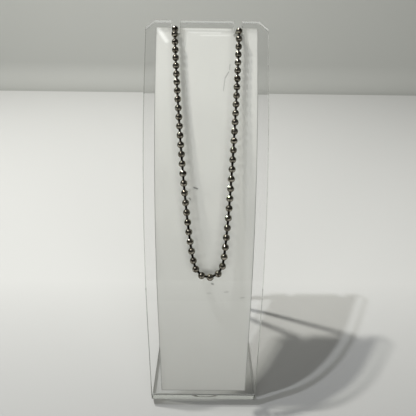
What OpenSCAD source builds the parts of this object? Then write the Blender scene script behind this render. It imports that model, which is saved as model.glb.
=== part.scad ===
// Ball chain necklace hung through two notches of a clear, curved display stand.
// The frame: +X to the viewer's right, -Y to the viewer, +Z up, origin on the surface
// under the middle of the stand. The shapes are drawn with Y from the point where the
// panel's curve would stand upright on the table, and centred at the end. Lengths up the
// sheet are measured from there, along its front face.

/* [Chain] */
// Diameter of one ball
ball_d = 3.2; // [3:0.1:3.4]
// Wall of the hollow balls
ball_wall = 0.22; // [0.2:0.01:0.25]
// Diameter of the hole in each end of a ball
hole_d = 0.84; // [0.8:0.01:0.9]
// Diameter of the rod of a link
rod_d = 0.62; // [0.5:0.01:0.62]
// Diameter of the head that holds a link inside its ball
head_d = 0.92; // [0.88:0.01:0.94]
// Thickness of that head
head_t = 0.5; // [0.4:0.05:0.5]
// Distance between ball centres where the chain is pulled out
pitch = 4.36; // [4.3:0.01:4.38]
// Distance between ball centres at the slack bottom of the front loop
slack_pitch = 4; // [3.95:0.01:4.3]
// Balls from the lowest one to the connector, down the left strand
balls_left = 58; // [57:1:58]
// Balls from the lowest one to the connector, down the right strand
balls_right = 57; // [56:1:57]
// Clearance between the balls and the sheet
seat_gap = 0.2; // [0.1:0.05:0.3]

/* [Loops] */
// Radius of the bottom of both loops
loop_r = 6.3; // [6:0.1:7]
// Sideways place of the lowest point of the front loop
loop_x = 1.8; // [0:0.1:3]
// Height up the sheet of the lowest point of the front loop
loop_s = 68.7; // [60:0.1:80]
// Slope of the left strand where it leaves the loop, from upright
left_deg = 24; // [10:1:30]
// Slope of the right strand where it leaves the loop, from upright
right_deg = 13; // [10:1:30]
// How far a strand keeps that slope
ease = 12; // [8:1:20]
// Slope of both strands at the bottom of the loop behind
back_deg = 18; // [10:1:30]
// Sideways place of the middle of the loop behind
back_x = 0.9; // [0:0.1:1.8]
// Depth of the loop behind, below the notches
drop = 119; // [118.7:0.1:119.3]

/* [Connector] */
// Outer diameter of the barrel that joins the two ends
barrel_d = 4.2; // [4.1:0.1:5]
// Wall of the barrel
barrel_wall = 0.3; // [0.25:0.05:0.35]
// Width of the slot in its side
slot_w = 1.2; // [0.8:0.1:1.6]
// Diameter of the opening in each end
mouth_d = 1.4; // [1:0.1:1.6]

/* [Stand] */
// Thickness of the clear sheet
sheet_t = 3; // [2.5:0.1:4]
// Radius of the curved front face
bow_r = 220; // [210:5:240]
// Lean of the straight stretch below the curve
low_deg = 11.5; // [8:0.5:14]
// Lean of the top, where the curve ends
lean_deg = 42; // [40:0.5:44]
// Length of the straight stretch above the curve
top_run = 32.5; // [30:0.5:40]
// Width at the table
base_w = 51; // [50:0.5:60]
// Width at the top
top_w = 60.4; // [58:0.2:66]
// Outer radius of the bend between panel and foot
bend_r = 5; // [4.5:0.5:8]
// Depth of the foot on the table
foot_l = 86; // [80:1:100]
// Size of the cut-off top corners
corner = 4.5; // [2:0.5:6]
// Width of the two notches
notch_w = 4.2; // [4:0.1:5]
// Depth of the notches
notch_h = 7.3; // [6:0.1:8]
// Distance of each notch from the middle
notch_x = 15.2; // [14.5:0.1:16]
// How far outside the middle of its notch each strand lies
notch_shift = 0.3; // [0:0.05:0.35]

/* [Film] */
// Thickness of the white film on the back of the panel
film_t = 0.2; // [0.15:0.05:0.3]
// Clearance between film and panel
film_gap = 0.05; // [0.05:0.05:0.1]
// Clear border left and right of the film
film_side = 5; // [4:0.5:8]
// Height up the sheet of the film's lower edge
film_low = 7; // [6:0.5:12]
// Distance of its upper edge from the top of the sheet
film_top = 2.9; // [2.5:0.1:4.5]

/* [Hidden] */
$fn = 96;
eps = 0.01;

ball_r = ball_d / 2;
cavity_r = ball_r - ball_wall;
head_r = head_d / 2;
head_gap = 0.12;
head_reach = sqrt(pow(cavity_r - head_gap, 2) - head_r * head_r) - head_t / 2;
link_l = pitch - 2 * head_reach;
seat = ball_r + seat_gap;

bow_l = bow_r * lean_deg * PI / 180;
sheet_l = bow_l + top_run;
ledge_s = sheet_l - notch_h;
strand_x = notch_x + notch_shift;
low_l = bow_r * low_deg * PI / 180;
bend_y = bow_r + (bend_r * (1 + sin(low_deg)) - bow_r) / cos(low_deg);
bend_s = low_l + (bend_r * (1 + sin(low_deg)) - bow_r * sin(low_deg)) / cos(low_deg);
bow_steps = 30;
bend_steps = 10;
film_back = film_gap + film_t;
mid_y = (foot_l + bend_y - bend_r) / 2;
back_seat = seat + film_back;

// The point of the sheet at s along its front face and off in front of it, as [y, z]
function lean(s) = min(max(s, low_l), bow_l) / bow_r * 180 / PI;
function on_panel(s, off) =
    let (a = lean(s), e = max(s - bow_l, 0) + min(s - low_l, 0))
    [
        bow_r * (1 - cos(a)) + e * sin(a) - off * cos(a),
        bow_r * sin(a) + e * cos(a) + off * sin(a)
    ];

// Half the panel's width at s
function half_w(s) = (base_w + (top_w - base_w) * s / sheet_l) / 2;

// One strand in its own plane, as [sideways, up]: a quarter loop, then an easy curve
function heading(side, deg) = [side * sin(deg), cos(deg)];
function bezier(a, b, c, d, t) =
    pow(1 - t, 3) * a + 3 * t * pow(1 - t, 2) * b + 3 * t * t * (1 - t) * c + pow(t, 3) * d;
function strand(side, foot, deg, top) =
    let (
        turn = 90 - deg,
        leave = foot + loop_r * [side * sin(turn), 1 - cos(turn)]
    )
    concat(
        [for (i = [0:8]) foot + loop_r * [side * sin(turn * i / 8), 1 - cos(turn * i / 8)]],
        [
            for (i = [1:30])
                bezier(leave, leave + ease * heading(side, deg), top - [0, ease / 2], top, i / 30)
        ]
    );

// The chain's line over the floor of a notch: round its front edge, then its back edge
ledge_front = on_panel(ledge_s, 0);
ledge_back = on_panel(ledge_s, -sheet_t);
function round_edge(x, edge, r, from, to) =
    [for (i = [0:6]) let (a = from + (to - from) * i / 6) [x, edge.x + r * cos(a), edge.y + r * sin(a)]];
function over_ledge(x) =
    concat(
        round_edge(x, ledge_front, seat, 180 - lean_deg, 90 - lean_deg),
        round_edge(x, ledge_back, back_seat, 90 - lean_deg, 0)
    );

// The line of one side, from the lowest point in front to the middle behind
back_y = ledge_back.x + back_seat;
function reversed(v) = [for (i = [len(v) - 1:-1:0]) v[i]];
function side_line(side, deg) =
    concat(
        [
            for (p = strand(side, [loop_x, loop_s], deg, [side * strand_x, ledge_s]))
                let (q = on_panel(p.y, seat)) [p.x, q.x, q.y]
        ],
        over_ledge(side * strand_x),
        [
            for (p = reversed(strand(side, [back_x, -drop], back_deg, [side * strand_x, 0])))
                [p.x, back_y, ledge_back.y + p.y]
        ],
        [[back_x - side * loop_r, back_y, ledge_back.y - drop]]
    );

// Ball centres: each is one pitch from the last, in a straight line, on the chain's line
function lengths(v, i = 1, sum = 0) =
    i > len(v) ? [] : concat([sum], lengths(v, i + 1, sum + (i < len(v) ? norm(v[i] - v[i - 1]) : 0)));
function table(v, s, k) = [for (i = [0:len(v) - 1]) [s[i], v[i][k]]];
function at(t, l) = [lookup(l, t[0]), lookup(l, t[1]), lookup(l, t[2])];
function reach(t, from, gap, lo, hi, n = 22) =
    n == 0 ? lo : let (mid = (lo + hi) / 2)
    norm(at(t, mid) - from) < gap ? reach(t, from, gap, mid, hi, n - 1) : reach(t, from, gap, lo, mid, n - 1);
function gap_after(i) = i < 2 ? slack_pitch : pitch;
function walk(t, l, i, count) =
    i == count ? [at(t, l)]
    : let (here = at(t, l))
    concat([here], walk(t, reach(t, here, gap_after(i), l, l + 2 * pitch), i + 1, count));
function side_balls(side, deg, start, count) =
    let (v = side_line(side, deg), s = lengths(v))
    walk([for (k = [0:2]) table(v, s, k)], start, 0, count);

// The lowest ball lies a little right of the loop's lowest point
lowest = 0.7;
right = side_balls(1, right_deg, lowest, balls_right);
left = concat([right[0]], side_balls(-1, left_deg, slack_pitch - lowest, balls_left - 1));
balls = concat(reversed(left), [for (i = [1:len(right) - 1]) right[i]]);
ball_count = len(balls);

// Balls in front are those whose centre is forward of the middle of the ledge
ledge_mid = (ledge_front + ledge_back) / 2;
function is_front(i) = balls[i].y < ledge_mid.x + seat * sin(lean_deg);

module centred() {
    translate([0, -mid_y, 0]) children();
}

module aim(v) {
    rotate([0, acos(v.z / norm(v)), atan2(v.y, v.x)]) children();
}

module ball(i) {
    ends = [balls[max(i - 1, 0)], balls[min(i + 1, ball_count - 1)]];
    translate(balls[i])
        difference() {
            aim(ends[1] - ends[0]) rotate([90, 0, 0]) sphere(ball_r);
            aim(ends[1] - ends[0]) rotate([90, 0, 0]) sphere(cavity_r);
            for (end = ends)
                if (end != balls[i])
                    aim(end - balls[i]) translate([0, 0, head_reach]) cylinder(d = hole_d, h = ball_r);
        }
}

module link(i) {
    v = balls[i + 1] - balls[i];
    inset = (norm(v) - link_l) / 2;
    translate(balls[i]) aim(v) {
        translate([0, 0, inset]) cylinder(d = rod_d, h = link_l);
        for (h = [inset, inset + link_l])
            translate([0, 0, h]) cylinder(r = head_r, h = head_t, center = true);
    }
}

module chain_front() {
    color("dimgray")
        centred()
            for (i = [0:ball_count - 1])
                if (is_front(i)) {
                    ball(i);
                    if (i + 1 < ball_count && is_front(i + 1)) link(i);
                }
}

module chain_back() {
    color("dimgray")
        centred()
            for (i = [0:ball_count - 1]) {
                if (!is_front(i)) ball(i);
                if (i + 1 < ball_count && !(is_front(i) && is_front(i + 1))) link(i);
            }
}

// Both end balls sit in the barrel, which is open at its ends for the links and slotted behind
module capsule(r, span) {
    cylinder(r = r, h = span);
    sphere(r);
    translate([0, 0, span]) sphere(r);
}

module connector() {
    ends = [balls[0], balls[ball_count - 1]];
    nexts = [balls[1], balls[ball_count - 2]];
    v = ends[1] - ends[0];
    color("gray")
        centred() difference() {
            translate(ends[0]) aim(v)
                difference() {
                    capsule(barrel_d / 2, norm(v));
                    capsule(barrel_d / 2 - barrel_wall, norm(v));
                    translate([-slot_w / 2, 0, 0]) cube([slot_w, barrel_d, norm(v)]);
                }
            for (k = [0, 1])
                translate(ends[k]) aim(nexts[k] - ends[k])
                    translate([0, 0, ball_r]) cylinder(d = mouth_d, h = barrel_d);
        }
}

// Lines of the side view, off in front of the sheet's face: round the bend, and up the panel
function foot_line(off) =
    concat(
        [[foot_l, -off]],
        [
            for (i = [0:bend_steps - 1])
                let (a = -90 + (90 + low_deg) * i / bend_steps)
                [bend_y, bend_r] + (bend_r + off) * [-cos(a), sin(a)]
        ]
    );
function panel_line(off, low, high) =
    concat(
        [on_panel(low, off)],
        [for (i = [0:bow_steps]) on_panel(low_l + (bow_l - low_l) * i / bow_steps, off)],
        [on_panel(high, off)]
    );

// A wall across the stand between two such lines
module wall(line_a, line_b) {
    translate([-top_w, 0, 0])
        rotate([90, 0, 90])
            linear_extrude(2 * top_w)
                polygon(concat(line_a, reversed(line_b)));
}

// A prism along Y with the outline of the panel seen from the front
module taper(inset, low) {
    steps = 4;
    rows = [for (i = [0:steps]) low + (sheet_l - low) * i / steps];
    rim = [for (s = rows) [half_w(s) - inset, on_panel(s, 0).y]];
    tip = rim[steps] + [0, sheet_t];
    rotate([90, 0, 0])
        translate([0, 0, -2 * foot_l])
            linear_extrude(4 * foot_l)
                polygon(concat(
                    [[rim[0].x, -eps]], rim, [tip], [[-tip.x, tip.y]],
                    [for (p = reversed(rim)) [-p.x, p.y]], [[-rim[0].x, -eps]]
                ));
}

// Places things on the middle of the sheet's top edge, with Y through it and Z up it
module at_top() {
    translate([0, on_panel(sheet_l, 0).x, on_panel(sheet_l, 0).y])
        rotate([-lean_deg, 0, 0])
            children();
}

module notches() {
    at_top()
        for (side = [-1, 1])
            translate([side * notch_x - notch_w / 2, -sheet_t, -notch_h])
                cube([notch_w, 3 * sheet_t, 2 * notch_h]);
}

module stand_sheet() {
    color("aliceblue", 0.4)
        centred() difference() {
            intersection() {
                wall(
                    concat(foot_line(0), panel_line(0, bend_s, sheet_l)),
                    concat(foot_line(-sheet_t), panel_line(-sheet_t, bend_s, sheet_l))
                );
                taper(0, 0);
            }
            notches();
            at_top()
                for (side = [-1, 1])
                    translate([side * top_w / 2, 0, 0])
                        rotate([0, side * 45, 0])
                            translate([0, 0, (3 - 1 / sqrt(2)) * corner])
                                cube(6 * corner, center = true);
        }
}

module backing_film() {
    color("white", 0.8)
        centred() difference() {
            intersection() {
                wall(
                    panel_line(-sheet_t - film_gap, film_low, sheet_l - film_top),
                    panel_line(-sheet_t - film_back, film_low, sheet_l - film_top)
                );
                taper(film_side, film_low);
            }
            notches();
        }
}

stand_sheet();
backing_film();
chain_front();
chain_back();
connector();
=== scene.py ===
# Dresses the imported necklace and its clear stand, with floor, lights and the photo's camera.
# Lengths are in metres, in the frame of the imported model.
import math

import bmesh
import bpy
import numpy as np
from mathutils import Matrix, Quaternion, Vector

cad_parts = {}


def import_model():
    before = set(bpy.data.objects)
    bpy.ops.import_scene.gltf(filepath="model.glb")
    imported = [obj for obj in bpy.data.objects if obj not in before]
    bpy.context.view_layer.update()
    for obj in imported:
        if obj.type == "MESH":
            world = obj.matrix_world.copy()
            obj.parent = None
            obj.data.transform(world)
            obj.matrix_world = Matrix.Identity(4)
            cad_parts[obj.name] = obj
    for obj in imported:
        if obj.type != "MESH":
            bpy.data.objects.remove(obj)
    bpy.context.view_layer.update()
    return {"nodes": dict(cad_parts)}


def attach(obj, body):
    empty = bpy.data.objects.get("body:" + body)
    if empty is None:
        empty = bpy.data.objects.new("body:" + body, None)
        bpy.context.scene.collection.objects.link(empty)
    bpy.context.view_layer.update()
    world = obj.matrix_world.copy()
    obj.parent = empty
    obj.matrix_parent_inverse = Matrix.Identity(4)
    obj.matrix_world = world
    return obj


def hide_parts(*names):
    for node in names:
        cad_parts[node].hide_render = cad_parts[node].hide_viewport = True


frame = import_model()

MM = 0.001

# The stand's sizes, as in the solids
SHEET_T = 3 * MM
BOW_R = 220 * MM
LOW_LEAN = math.radians(11.5)
LEAN = math.radians(42)
TOP_RUN = 32.5 * MM
BASE_W = 51 * MM
TOP_W = 60.4 * MM
BEND_R = 5 * MM
FOOT_L = 86 * MM
CORNER = 4.5 * MM
NOTCH_W = 4.2 * MM
NOTCH_H = 7.3 * MM
NOTCH_X = 15.2 * MM
FILM_T = 0.2 * MM
FILM_GAP = 0.05 * MM
FILM_SIDE = 5 * MM
FILM_LOW = 7 * MM
FILM_TOP = 2.9 * MM

# s is the length up the panel's face, measured as if its low straight run went on down to the
# table. The bend lies between BEND_START and BEND_S, and the bow between LOW_L and BOW_L.
BOW_L = BOW_R * LEAN
SHEET_L = BOW_L + TOP_RUN
LEDGE_S = SHEET_L - NOTCH_H
CORNER_S = SHEET_L - (CORNER - (TOP_W - BASE_W) / 2 * CORNER / SHEET_L)
LOW_L = BOW_R * LOW_LEAN
BEND_RISE = BEND_R * (1 + math.sin(LOW_LEAN))
BEND_Y = BOW_R + (BEND_RISE - BOW_R) / math.cos(LOW_LEAN)
BEND_S = LOW_L + (BEND_RISE - BOW_R * math.sin(LOW_LEAN)) / math.cos(LOW_LEAN)
BEND_START = BEND_S - BEND_R * (math.pi / 2 + LOW_LEAN)
# Half way from the stand's front to its back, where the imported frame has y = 0
MID_Y = (FOOT_L + BEND_Y - BEND_R) / 2

# The notches' sides, which divide the sheet into five columns, and the two columns cut out there
CUTS = (
    -NOTCH_X - NOTCH_W / 2,
    -NOTCH_X + NOTCH_W / 2,
    NOTCH_X - NOTCH_W / 2,
    NOTCH_X + NOTCH_W / 2,
)
NOTCHES = (1, 3)

# Rows of faces in each stretch of the sheet, and in the low stretch of the film
FOOT_ROWS = 24
BEND_ROWS = 14
LOW_ROWS = 30
BOW_ROWS = 100
TOP_ROWS = 14
CORNER_ROWS = 3
FILM_LOW_ROWS = 24

# The width of the broken rims, and how far an edge is bent to be a rim
RIM = 0.22 * MM
RIM_BENT = math.radians(30)
# Edges bent by more than this stay sharp, so that the flat faces shade flat
SHARP = math.radians(12)

# The sheet's three finishes: its faces, its cut edges and its bend
FACE, CUT, BEND = 0, 1, 2

# The chain's sizes. The balls and the length of the links are as in the solids. The holes, rods
# and heads are wider here, so that the links look as wide and dark as in the photo.
BALL_R = 1.6 * MM
BALL_WALL = 0.22 * MM
LINK_L = 2.514 * MM
HEAD_T = 0.5 * MM
HOLE_R = 0.62 * MM
ROD_R = 0.56 * MM
HEAD_R = 0.70 * MM
# The rolled lip of each hole, the rounding of each head, and how thin a rod is at its middle
LIP = 0.06 * MM
HEAD_ROUND = 0.08 * MM
WAIST = 0.93
# A loose solid narrower than this is a link, and two balls nearer than this are neighbours
BALL_LEAST = 1.8 * BALL_R
NEIGHBOUR = 4.5 * MM
# The solids' points are rounded to this, to find those that are one and the same
WELD = 0.5e-3 * MM
# Points round each ring, and rings from lip to lip of a ball
RING = 28
BALL_RINGS = 18
# The share of a turn from each ball's seam to the next one's
BALL_TURN = 0.381966

# The first finish of the chain is for its balls, and the second for its links
BALL, LINK = 0, 1


def add_obj(name, mesh):
    obj = bpy.data.objects.new(name, mesh)
    bpy.context.scene.collection.objects.link(obj)
    return obj


def add_mesh(name, verts, faces):
    mesh = bpy.data.meshes.new(name)
    mesh.from_pydata([tuple(v) for v in verts], [], faces)
    mesh.update()
    mesh.shade_smooth()
    return add_obj(name, mesh)


def dress(obj, node):
    """The piece rides on the one body and stands for that node, whose solid is hidden."""
    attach(obj, "root")
    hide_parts(node)


def on_panel(s, off):
    """(y, z) of the place s up the panel and off in front of its face."""
    a = min(max(s, LOW_L), BOW_L) / BOW_R
    e = max(s - BOW_L, 0) + min(s - LOW_L, 0)
    return Vector((
        BOW_R * (1 - math.cos(a)) + e * math.sin(a) - off * math.cos(a) - MID_Y,
        BOW_R * math.sin(a) + e * math.cos(a) + off * math.sin(a),
    ))


def half_w(s):
    """Half the width of the sheet at s, between its straight sides."""
    return (BASE_W + (TOP_W - BASE_W) * s / SHEET_L) / 2


def edge_w(s):
    """Half the width of the sheet at s, with its top corners cut off."""
    return min(half_w(s), TOP_W / 2 - CORNER + SHEET_L - s)


def steps(a, b, n):
    """n even steps from a towards b, without b."""
    return [a + (b - a) * i / n for i in range(n)]


def sheet_rows():
    """(s, half width, (y, z) of the face, (y, z) of the back) from the foot's end to the top."""
    rows = []
    for y in steps(FOOT_L, BEND_Y, FOOT_ROWS):
        rows.append((BEND_START + BEND_Y - y, BASE_W / 2, (y - MID_Y, 0), (y - MID_Y, SHEET_T)))
    mid = (BEND_Y - MID_Y, BEND_R)
    for a in steps(-math.pi / 2, LOW_LEAN, BEND_ROWS):
        out = (-math.cos(a), math.sin(a))
        face, back = ([mid[k] + r * out[k] for k in (0, 1)] for r in (BEND_R, BEND_R - SHEET_T))
        rows.append((BEND_START + BEND_R * (a + math.pi / 2), half_w(max(face[1], 0)), face, back))
    stops = steps(BEND_S, LOW_L, LOW_ROWS) + steps(LOW_L, BOW_L, BOW_ROWS)
    stops += steps(BOW_L, LEDGE_S, TOP_ROWS) + [LEDGE_S]
    stops += steps(CORNER_S, SHEET_L, CORNER_ROWS) + [SHEET_L]
    return rows + [(s, edge_w(s), on_panel(s, 0), on_panel(s, -SHEET_T)) for s in stops]


def slab(rows):
    """A closed sheet of those rows, without the notches. Its UVs are metres across and up."""
    bm = bmesh.new()
    uv_of = {}
    grid = []
    for s, w, face, back in rows:
        sides = []
        for y, z in (face, back):
            sides.append([bm.verts.new((x, y, z)) for x in [-w, *CUTS, w]])
            uv_of.update({v: (v.co.x, s) for v in sides[-1]})
        grid.append(sides)
    # The cells that are filled, each by its row and its column
    full = {
        (i, c)
        for i in range(len(rows) - 1)
        for c in range(len(CUTS) + 1)
        if c not in NOTCHES or rows[i][0] < LEDGE_S
    }
    for i, c in sorted(full):
        (face0, back0), (face1, back1) = grid[i], grid[i + 1]
        flat = BEND if BEND_START <= rows[i][0] < BEND_S else FACE
        quads = [
            (flat, (face0[c], face0[c + 1], face1[c + 1], face1[c])),
            (flat, (back0[c], back1[c], back1[c + 1], back0[c + 1])),
        ]
        if (i, c - 1) not in full:
            quads.append((CUT, (face0[c], face1[c], back1[c], back0[c])))
        if (i, c + 1) not in full:
            quads.append((CUT, (face0[c + 1], back0[c + 1], back1[c + 1], face1[c + 1])))
        if (i - 1, c) not in full:
            quads.append((CUT, (face0[c], back0[c], back0[c + 1], face0[c + 1])))
        if (i + 1, c) not in full:
            quads.append((CUT, (face1[c], face1[c + 1], back1[c + 1], back1[c])))
        for finish, corners in quads:
            bm.faces.new(corners).material_index = finish
    layer = bm.loops.layers.uv.new("panel")
    for f in bm.faces:
        f.smooth = True
        for loop in f.loops:
            loop[layer].uv = uv_of[loop.vert]
    bmesh.ops.recalc_face_normals(bm, faces=bm.faces)
    return bm


def from_bmesh(name, bm):
    """An object of that mesh, smooth but for its sharp edges."""
    mesh = bpy.data.meshes.new(name)
    bm.to_mesh(mesh)
    bm.free()
    mesh.set_sharp_from_angle(angle=SHARP)
    return add_obj(name, mesh)


def clear_sheet():
    """The bent sheet, with its rims broken a little."""
    bm = slab(sheet_rows())
    rim = [e for e in bm.edges if e.calc_face_angle() > RIM_BENT]
    bmesh.ops.bevel(
        bm,
        geom=rim,
        offset=RIM,
        segments=2,
        profile=0.5,
        affect="EDGES",
        clamp_overlap=True,
        material=CUT,
    )
    for f in bm.faces:
        f.smooth = True
    return from_bmesh("clear_panel", bm)


def white_film():
    """The film on the back of the panel, cut out at the notches."""
    face = -SHEET_T - FILM_GAP
    back = face - FILM_T
    stops = steps(FILM_LOW, LOW_L, FILM_LOW_ROWS) + steps(LOW_L, LEDGE_S, BOW_ROWS)
    stops += [LEDGE_S, SHEET_L - FILM_TOP]
    bm = slab([(s, half_w(s) - FILM_SIDE, on_panel(s, face), on_panel(s, back)) for s in stops])
    for f in bm.faces:
        f.material_index = FACE
    return from_bmesh("white_film", bm)


def islands(obj):
    """The corner points of each loose solid in a node's mesh."""
    co = np.empty(len(obj.data.vertices) * 3)
    obj.data.vertices.foreach_get("co", co)
    co = co.reshape(-1, 3)
    _, same = np.unique(np.round(co / WELD).astype(np.int64), axis=0, return_inverse=True)
    same = same.reshape(-1)
    root = list(range(int(same.max()) + 1))

    def find(i):
        while root[i] != i:
            root[i] = root[root[i]]
            i = root[i]
        return i

    for e in obj.data.edges:
        a, b = find(same[e.vertices[0]]), find(same[e.vertices[1]])
        if a != b:
            root[a] = b
    groups = {}
    for i, k in enumerate(same):
        groups.setdefault(find(k), []).append(i)
    return [co[g] for g in groups.values()]


def centres(obj):
    """The centre of each ball of a chain node, fitted to the points on its outside."""
    found = []
    for pts in islands(obj):
        high, low = pts.max(0), pts.min(0)
        if (high - low).min() < BALL_LEAST:
            continue
        mid = (high + low) / 2
        skin = pts[np.linalg.norm(pts - mid, axis=1) > BALL_R - BALL_WALL / 2]
        a = np.c_[2 * (skin - mid), np.ones(len(skin))]
        b = ((skin - mid) ** 2).sum(1)
        found.append(mid + np.linalg.lstsq(a, b, rcond=None)[0][:3])
    return found


def in_order(points):
    """The balls from one end of the chain to the other, each next to the last."""
    pts = np.array(points)
    dist = np.linalg.norm(pts[:, None] - pts[None], axis=2)
    near = [[j for j in np.flatnonzero(row < NEIGHBOUR) if j != i] for i, row in enumerate(dist)]
    order = [min(i for i, n in enumerate(near) if len(n) == 1)]
    while len(order) < len(pts):
        order.append(next(j for j in near[order[-1]] if j not in order[-2:]))
    return order


class Rings:
    """Tubes made of rings of points, which become one mesh with a finish and UVs for each tube."""

    def __init__(self):
        self.verts, self.faces, self.uvs, self.slots = [], [], [], []

    def tube(self, profile, place, slot, u_start=0):
        """Joins one ring for each pair of the profile. place(*pair, angle) gives its points."""
        first = len(self.verts)
        last = len(profile) - 1
        for pair in profile:
            self.verts += [place(*pair, 2 * math.pi * j / RING) for j in range(RING)]
        for k in range(last):
            v0, v1 = k / last, (k + 1) / last
            a, b = first + k * RING, first + (k + 1) * RING
            for j in range(RING):
                j1 = (j + 1) % RING
                u0, u1 = j / RING + u_start, (j + 1) / RING + u_start
                self.faces.append((a + j, a + j1, b + j1, b + j))
                self.uvs += [u0, v0, u1, v0, u1, v1, u0, v1]
                self.slots.append(slot)

    def finish(self, name):
        obj = add_mesh(name, self.verts, self.faces)
        obj.data.uv_layers.new(name="ring").data.foreach_set("uv", self.uvs)
        obj.data.polygons.foreach_set("material_index", self.slots)
        bm = bmesh.new()
        bm.from_mesh(obj.data)
        bmesh.ops.recalc_face_normals(bm, faces=bm.faces)
        bm.to_mesh(obj.data)
        bm.free()
        return obj


def ball_profile():
    """(polar angle, distance from the centre) of a ball's rings, through both of its holes."""
    inside = BALL_R - BALL_WALL
    inner = math.asin(HOLE_R / inside)
    hole = math.asin(HOLE_R / BALL_R)
    rolled = math.asin((HOLE_R + LIP) / BALL_R)
    # A stretch of the cavity, the hole's two rims, and the lip that rises from it to the skin
    end = [
        (inner * 2.2, inside),
        (inner, inside),
        (hole, BALL_R - LIP * 1.1),
        (hole * 1.03, BALL_R - LIP * 0.4),
        (rolled, BALL_R),
    ]
    skin = [(a, BALL_R) for a in steps(rolled, math.pi - rolled, BALL_RINGS)[1:]]
    return end + skin + [(math.pi - a, r) for a, r in reversed(end)]


def link_profile():
    """(radius, height) of a link's rings, from the head in one ball to the head in the next."""
    half = [
        (0.5 * HEAD_R, -HEAD_T / 2),
        (HEAD_R, -HEAD_T / 2 + HEAD_ROUND),
        (HEAD_R, HEAD_T / 2 - HEAD_ROUND),
        (ROD_R, HEAD_T / 2),
        (ROD_R * WAIST, LINK_L / 2),
    ]
    return half + [(r, LINK_L - h) for r, h in reversed(half[:-1])]


def across(axis):
    """Two directions square to the axis and to each other."""
    side = axis.orthogonal().normalized()
    return side, axis.cross(side)


def on_ball(centre, down, up):
    """Gives the points of a ball whose two holes face down and up the chain."""
    axis = (up - down).normalized()
    lean_down = (-axis).rotation_difference(down)
    lean_up = axis.rotation_difference(up)
    side, other = across(axis)

    def place(polar, reach, turn):
        out = side * math.cos(turn) + other * math.sin(turn)
        p = axis * math.cos(polar) + out * math.sin(polar)
        lean = lean_up if polar < math.pi / 2 else lean_down
        return centre + Quaternion().slerp(lean, abs(math.cos(polar))) @ p * reach

    return place


def on_link(a, b):
    """Gives the points of the link between two balls' centres."""
    axis = (b - a).normalized()
    start = a + axis * ((b - a).length - LINK_L) / 2
    side, other = across(axis)

    def place(radius, height, turn):
        return start + axis * height + (side * math.cos(turn) + other * math.sin(turn)) * radius

    return place


def chains(materials):
    """Both parts of the chain, with balls and links where the solids have theirs."""
    points, owner = [], []
    for node in ("chain_front", "chain_back"):
        found = centres(frame["nodes"][node])
        points += found
        owner += [node] * len(found)
    order = in_order(points)
    line = [Vector(points[k]) for k in order]
    owner = [owner[k] for k in order]
    # A link is in front only where both of its balls are
    tied = [
        "chain_front" if a == b == "chain_front" else "chain_back"
        for a, b in zip(owner, owner[1:])
    ]
    # The directions of each ball's two neighbours. The first and the last ball have only one.
    toward = []
    for i, c in enumerate(line):
        back = (line[i - 1] - c).normalized() if i > 0 else None
        ahead = (line[i + 1] - c).normalized() if i + 1 < len(line) else None
        toward.append((back or -ahead, ahead or -back))
    ball, link = ball_profile(), link_profile()
    for node, name in (("chain_front", "front_chain"), ("chain_back", "back_chain")):
        rings = Rings()
        for i, c in enumerate(line):
            if owner[i] == node:
                rings.tube(ball, on_ball(c, *toward[i]), BALL, (i * BALL_TURN) % 1)
        for i, k in enumerate(tied):
            if k == node:
                rings.tube(link, on_link(line[i], line[i + 1]), LINK)
        obj = rings.finish(name)
        for m in materials:
            obj.data.materials.append(m)
        dress(obj, node)


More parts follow.
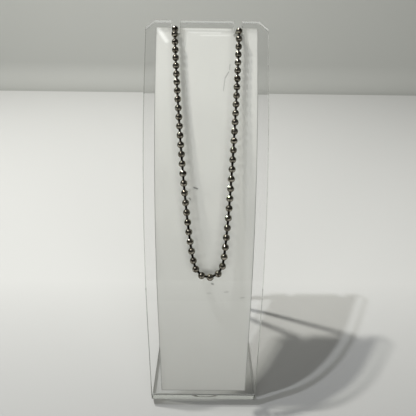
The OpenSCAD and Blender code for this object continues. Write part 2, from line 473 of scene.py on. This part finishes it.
class Nodes:
    """Short calls to build a material's nodes."""

    # The sockets of a Mix node that mixes colours: its share, its two colours and its result
    MIX_INPUTS, MIX_OUTPUT = (0, 6, 7), 2

    def __init__(self, name):
        self.mat = bpy.data.materials.new(name)
        self.mat.use_nodes = True
        self.tree = self.mat.node_tree
        self.shader = self.tree.nodes["Principled BSDF"]

    def new(self, kind, **values):
        node = self.tree.nodes.new(kind)
        for key, value in values.items():
            setattr(node, key, value)
        return node

    def link(self, a, b):
        self.tree.links.new(a, b)

    def put(self, value, socket):
        """Sets a socket to a plain value, or links it to another node's output."""
        if isinstance(value, (int, float, tuple)):
            socket.default_value = value
        else:
            self.link(value, socket)

    def set(self, **values):
        for key, value in values.items():
            self.put(value, self.shader.inputs[key.replace("_", " ")])

    def surface(self, shader_output):
        self.link(shader_output, self.tree.nodes["Material Output"].inputs["Surface"])

    def math(self, op, a, b=None, clamp=False):
        node = self.new("ShaderNodeMath", operation=op, use_clamp=clamp)
        self.put(a, node.inputs[0])
        if b is not None:
            self.put(b, node.inputs[1])
        return node.outputs[0]

    def add(self, a, b, clamp=False):
        return self.math("ADD", a, b, clamp)

    def sub(self, a, b, clamp=False):
        return self.math("SUBTRACT", a, b, clamp)

    def mul(self, a, b, clamp=False):
        return self.math("MULTIPLY", a, b, clamp)

    def noise(self, vector, scale, detail=2):
        node = self.new("ShaderNodeTexNoise")
        node.inputs["Scale"].default_value = scale
        node.inputs["Detail"].default_value = detail
        self.link(vector, node.inputs["Vector"])
        return node.outputs["Fac"]

    def mix(self, share, a, b):
        """Colour a, turning into b as the share goes from 0 to 1."""
        node = self.new("ShaderNodeMix", data_type="RGBA")
        for k, value in zip(self.MIX_INPUTS, (share, a, b)):
            self.put(value, node.inputs[k])
        return node.outputs[self.MIX_OUTPUT]

    def mix_shaders(self, share, a, b):
        node = self.new("ShaderNodeMixShader")
        for k, value in enumerate((share, a, b)):
            self.put(value, node.inputs[k])
        return node.outputs[0]

    def coords(self, which="Object"):
        return self.new("ShaderNodeTexCoord").outputs[which]

    def split(self, vector):
        node = self.new("ShaderNodeSeparateXYZ")
        self.link(vector, node.inputs[0])
        return node.outputs[0], node.outputs[1]

    def bump(self, height, strength, distance):
        node = self.new("ShaderNodeBump")
        node.inputs["Strength"].default_value = strength
        node.inputs["Distance"].default_value = distance
        self.link(height, node.inputs["Height"])
        self.link(node.outputs[0], self.shader.inputs["Normal"])

    def stretched(self, vector, scale):
        node = self.new("ShaderNodeMapping")
        node.inputs["Scale"].default_value = scale
        self.link(vector, node.inputs["Vector"])
        return node.outputs[0]

    def see_through(self, colour):
        """A shader that lets light straight through, tinted by that colour."""
        node = self.new("ShaderNodeBsdfTransparent")
        node.inputs["Color"].default_value = colour
        return node.outputs[0]

    def metal(self, pattern, low, high, rough, change):
        """Makes the shader bare metal. Where the pattern goes from 0 to 1, its colour goes from
        low to high and its roughness from rough by the change."""
        self.set(Metallic=1.0, Base_Color=self.mix(pattern, low, high))
        self.set(Roughness=self.add(self.mul(pattern, change), rough))


# Name, tint and shade of the sheet's finishes, in the order of FACE, CUT and BEND. The tint colours
# what is seen through the acrylic, and the shade is what it lets through to the floor.
SHEET_FINISHES = (
    ("clear_acrylic", (1.0, 1.0, 1.0, 1), (0.905, 0.91, 0.905, 1)),
    ("cut_edge", (0.76, 0.77, 0.74, 1), (0.36, 0.36, 0.34, 1)),
    ("clear_bend", (0.96, 0.97, 0.96, 1), (0.48, 0.48, 0.46, 1)),
)
# What is left of a mirrored ray, such as one that was reflected inside, as it passes a face
MIRRORED = (0.74, 0.75, 0.74, 1)


def acrylic(name, tint, shade):
    """Clear acrylic with faint scuffs that run up the panel, and slightly wavy."""
    m = Nodes(name)
    where = m.coords()
    scuffs = m.noise(m.stretched(where, (6, 1, 1)), scale=90, detail=3)
    worn = m.mul(m.sub(scuffs, 0.55, clamp=True), 0.25, clamp=True)
    m.set(Base_Color=tint, IOR=1.52, Transmission_Weight=1.0, Roughness=worn)
    m.bump(m.noise(where, scale=14, detail=1), strength=0.08, distance=0.2 * MM)
    path = m.new("ShaderNodeLightPath")
    surface = m.shader.outputs[0]
    shaded, mirrored = m.see_through(shade), m.see_through(MIRRORED)
    # Light from matte surfaces goes straight through, as a lamp's does, so that none counts twice.
    # A ray reflected inside leaves at the next face, so that the bend and the rims aren't black.
    rays = (("Is Reflection Ray", mirrored), ("Is Diffuse Ray", shaded), ("Is Shadow Ray", shaded))
    for kind, straight in rays:
        surface = m.mix_shaders(path.outputs[kind], surface, straight)
    m.surface(surface)
    return m.mat


# Dark marks on the film: (x, s) of both ends and half the width, in millimetres, and the strength
MARKS = (
    (11.2, 170.2, 11.0, 167.4, 0.35, 0.45),
    (10.6, 166.2, 8.8, 162.9, 0.40, 0.60),
    (8.8, 162.9, 8.0, 156.1, 0.35, 0.45),
    (-5.2, 109.1, -3.6, 108.6, 0.55, 0.95),
    (-7.2, 104.2, -6.8, 103.6, 0.55, 0.80),
    (3.4, 64.4, 4.0, 64.2, 0.60, 0.95),
    (9.4, 60.3, 11.0, 60.5, 0.55, 0.32),
    (1.4, 59.7, 2.8, 59.7, 0.55, 0.26),
    (17.0, 57.5, 18.4, 57.7, 0.55, 0.36),
)
# Painted highlights: a pale glare streak near its top left corner and faint pale glare bands along
# its top, in the same form
PAINTED_GLARE = (
    (-24.0, 190.0, -19.6, 183.0, 1.6, 1.3),
    (-11.5, 190.1, 11.5, 190.0, 0.70, 0.9),
    (-9.0, 188.4, 6.5, 188.2, 0.70, 0.7),
    (-3.0, 186.5, 11.0, 186.8, 0.70, 0.6),
)
# The dark line along the film's edges: its width and its strength
LINE_W = 0.45 * MM
LINE_DARK = 0.85
# Painted shade at the film's foot, a darker tone: the height in which it fades away and its
# strength
FOOT_SHADE_H = 58 * MM
FOOT_SHADE_DARK = 0.92
# The share of light that the film lets through and spreads, as thin paper does
GLOW = 0.45


def stripes(m, x, s, marks):
    """How strongly the marks cover each place: fully along a mark's middle, and not at its rim."""
    most = None
    for x0, s0, x1, s1, half, strength in marks:
        dx, ds = (x1 - x0) * MM, (s1 - s0) * MM
        to_x, to_s = m.sub(x, x0 * MM), m.sub(s, s0 * MM)
        along = m.add(m.mul(to_x, dx), m.mul(to_s, ds))
        t = m.mul(along, 1 / (dx * dx + ds * ds), clamp=True)
        off_x, off_s = m.sub(to_x, m.mul(t, dx)), m.sub(to_s, m.mul(t, ds))
        far = m.math("SQRT", m.add(m.mul(off_x, off_x), m.mul(off_s, off_s)))
        mark = m.sub(strength, m.mul(far, strength / (half * MM)), clamp=True)
        most = mark if most is None else m.math("MAXIMUM", most, mark)
    return most


def film():
    """A thin white film with a cloudy tone, its marks, painted highlights of glare near its top,
    painted shade at its foot, and light that shines through it.
    """
    m = Nodes("white_film")
    where = m.coords("UV")
    x, s = m.split(where)
    # pale is where the painted highlights of glare lie
    marks, pale = stripes(m, x, s, MARKS), stripes(m, x, s, PAINTED_GLARE)
    half = m.add(m.mul(s, (TOP_W - BASE_W) / 2 / SHEET_L), BASE_W / 2 - FILM_SIDE)
    from_side = m.sub(half, m.math("ABSOLUTE", x))
    from_foot = m.sub(s, FILM_LOW)
    inside = m.math("MINIMUM", from_side, from_foot)
    line = m.sub(1.0, m.math("DIVIDE", inside, LINE_W), clamp=True)
    foot_shade = m.sub(1.0, m.math("DIVIDE", from_foot, FOOT_SHADE_H), clamp=True)
    cloud = m.noise(where, scale=40, detail=3)
    grain = m.noise(where, scale=900)
    tone = m.add(m.mul(cloud, 0.7), m.mul(grain, 0.3))
    white = m.mix(tone, (0.750, 0.748, 0.730, 1), (0.847, 0.846, 0.826, 1))
    # Painted shade: the film turns darker towards its foot
    white = m.mix(m.mul(foot_shade, FOOT_SHADE_DARK), white, (0.60, 0.597, 0.58, 1))
    # Painted highlights: the glare streak and bands, nearly white
    white = m.mix(pale, white, (1.0, 1.0, 0.99, 1))
    dark = m.math("MAXIMUM", marks, m.mul(line, LINE_DARK))
    white = m.mix(dark, white, (0.22, 0.22, 0.21, 1))
    m.set(Base_Color=white, Roughness=0.42)
    waves = m.noise(where, scale=60)
    m.bump(m.add(waves, m.mul(grain, 0.15)), strength=0.25, distance=0.15 * MM)
    through = m.new("ShaderNodeBsdfTranslucent")
    m.link(white, through.inputs["Color"])
    m.surface(m.mix_shaders(GLOW, m.shader.outputs[0], through.outputs[0]))
    return m.mat


def steel():
    """Polished steel with random patches of darker colour, and a fine seam along each ball."""
    m = Nodes("chain_steel")
    where = m.coords()
    # Darker where the noise is under 0.38, and bright a little above that
    bright = m.mul(m.sub(m.noise(where, scale=1000), 0.38), 4.5, clamp=True)
    m.metal(bright, (0.105, 0.088, 0.065, 1), (0.59, 0.55, 0.47, 1), rough=0.15, change=-0.08)
    # The seam is a groove that reaches 1/160 of a turn to each side
    turn = m.split(m.coords("UV"))[0]
    from_seam = m.math("ABSOLUTE", m.sub(m.math("FRACT", turn), 0.5))
    seam = m.mul(from_seam, 160, clamp=True)
    fine = m.noise(where, scale=2600)
    m.bump(m.add(seam, m.mul(fine, 0.06)), strength=0.6, distance=0.05 * MM)
    return m.mat


def link_steel_with_painted_shade():
    """The links' steel, painted near black: painted shade for the dim gaps between the balls."""
    m = Nodes("link_steel")
    patch = m.noise(m.coords(), scale=700, detail=3)
    m.metal(patch, (0.010, 0.009, 0.007, 1), (0.026, 0.023, 0.019, 1), rough=0.25, change=0.2)
    return m.mat


def barrel_steel():
    """The connector's steel, with the fine lines of drawn metal along it."""
    m = Nodes("connector_steel")
    drawn = m.noise(m.stretched(m.coords(), (1, 8, 8)), scale=500, detail=3)
    m.metal(drawn, (0.42, 0.40, 0.37, 1), (0.60, 0.58, 0.55, 1), rough=0.16, change=0.15)
    m.bump(drawn, strength=0.25, distance=0.02 * MM)
    return m.mat


# Painted shade: the floor is darker in front of the stand, and its tone turns paler from this far
# in front of the stand's middle to as far behind it
FLOOR_SHADE_FADE = 0.055


def pale_floor():
    m = Nodes("pale_floor")
    y = m.split(m.coords())[1]
    back = m.mul(m.add(y, FLOOR_SHADE_FADE), 1 / (2 * FLOOR_SHADE_FADE), clamp=True)
    # Painted shade: darker towards the front, paler behind
    tone = m.mix(back, (0.382, 0.384, 0.38, 1), (0.56, 0.562, 0.553, 1))
    m.set(Base_Color=tone, Roughness=0.55, Specular_IOR_Level=0.25)
    return m.mat


def grey_backdrop():
    m = Nodes("grey_backdrop")
    m.set(Base_Color=(0.338, 0.343, 0.327, 1), Roughness=0.7)
    return m.mat


def floor_and_backdrop():
    """A pale floor that turns up softly into a low backdrop far behind the stand."""
    near, far, half_width = -1.8, 0.856, 3.5
    low, top = -0.2 * MM, 0.9
    turn_r, turn_rows = 0.06, 12
    turn_y = far - turn_r
    line = [(near, low), (turn_y, low)]
    line += [
        (turn_y + turn_r * math.sin(a), low + turn_r * (1 - math.cos(a)))
        for a in steps(0, math.pi / 2, turn_rows)[1:]
    ]
    line += [(far, low + turn_r), (far, top)]
    verts = [(x, y, z) for y, z in line for x in (-half_width, half_width)]
    faces = [(2 * i, 2 * i + 1, 2 * i + 3, 2 * i + 2) for i in range(len(line) - 1)]
    obj = add_mesh("floor", verts, faces)
    obj.data.materials.append(pale_floor())
    obj.data.materials.append(grey_backdrop())
    obj.data.polygons.foreach_set("material_index", [0] + [1] * (len(faces) - 1))


# The place on the stand that the lamps face
AIM = Vector((0, 0, 0.06))


def lamp(name, place, size, power, colour=(1, 1, 1)):
    """A disk lamp, or with two sizes an oblong one."""
    data = bpy.data.lights.new(name, "AREA")
    data.shape = "DISK" if isinstance(size, float) else "RECTANGLE"
    data.size, data.size_y = (size, size) if isinstance(size, float) else size
    data.energy = power
    data.color = colour
    obj = add_obj(name, data)
    obj.location = place
    obj.rotation_euler = (AIM - Vector(place)).to_track_quat("-Z", "Y").to_euler()
    return obj


def world(tone, dim, pale):
    """A room that lights and is mirrored dimly, and is pale where it is looked at."""
    w = bpy.data.worlds.new("studio")
    w.use_nodes = True
    nodes, links = w.node_tree.nodes, w.node_tree.links
    backs = (nodes["Background"], nodes.new("ShaderNodeBackground"))
    for back, strength in zip(backs, (dim, pale)):
        back.inputs["Color"].default_value = tone
        back.inputs["Strength"].default_value = strength
    path = nodes.new("ShaderNodeLightPath")
    surface = backs[0].outputs[0]
    for kind in ("Is Camera Ray", "Is Transmission Ray"):
        mixed = nodes.new("ShaderNodeMixShader")
        links.new(path.outputs[kind], mixed.inputs[0])
        links.new(surface, mixed.inputs[1])
        links.new(backs[1].outputs[0], mixed.inputs[2])
        surface = mixed.outputs[0]
    links.new(surface, nodes["World Output"].inputs["Surface"])
    bpy.context.scene.world = w


# The photo's camera, fitted to the stand's edges and the balls: the photo's width and the focal
# length in pixels, the pitch, roll and turn in radians, and its place before MID_Y is taken off
PHOTO_W = 416
FOCAL = 394.82
PITCH, ROLL, TURN = 0.46142, 0.01367, 0.0083
EYE = (-0.07 * MM, -136.31 * MM, 175.29 * MM)


def camera():
    data = bpy.data.cameras.new("photo_camera")
    data.sensor_width = 36
    data.lens = FOCAL / PHOTO_W * data.sensor_width
    data.clip_start = 0.01
    data.clip_end = 20
    obj = add_obj("photo_camera", data)
    right = Vector((1, 0, 0))
    up = Vector((0, math.sin(PITCH), math.cos(PITCH)))
    ahead = Vector((0, math.cos(PITCH), -math.sin(PITCH)))
    rightward = right * math.cos(ROLL) + up * math.sin(ROLL)
    upward = up * math.cos(ROLL) - right * math.sin(ROLL)
    axes = Matrix((rightward, upward, -ahead)).transposed().to_4x4()
    eye = Matrix.Translation((EYE[0], EYE[1] - MID_Y, EYE[2]))
    obj.matrix_world = eye @ Matrix.Rotation(-TURN, 4, "Z") @ axes
    bpy.context.scene.camera = obj


panel = clear_sheet()
for finish in SHEET_FINISHES:
    panel.data.materials.append(acrylic(*finish))
dress(panel, "stand_sheet")

backing = white_film()
backing.data.materials.append(film())
dress(backing, "backing_film")

chains((steel(), link_steel_with_painted_shade()))

barrel = frame["nodes"]["connector"]
barrel.data.materials.clear()
barrel.data.materials.append(barrel_steel())

floor_and_backdrop()
world(tone=(1.0, 1.0, 0.98, 1), dim=0.05, pale=0.38)
lamp("near_lamp", (-0.462, 0.019, 1.175), size=0.028, power=6.3, colour=(0.955, 0.97, 1.0))
lamp("far_lamp", (-0.480, 0.262, 1.207), size=0.045, power=12.3, colour=(1.0, 0.985, 0.92))
# This softbox lights the matte surfaces only, so that the steel mirrors a dark room
front = lamp("front_softbox", (0, -2.10, 0.54), size=(3.0, 1.05), power=52, colour=(1, 1, 0.965))
front.visible_glossy = front.visible_transmission = False
# This one is only mirrored, as a pale patch high on the left of each ball
mirrored = lamp("mirrored_softbox", (-0.50, -0.20, 1.00), size=0.55, power=1.7)
mirrored.visible_diffuse = mirrored.visible_transmission = False
camera()

bpy.context.scene.view_settings.view_transform = "Standard"
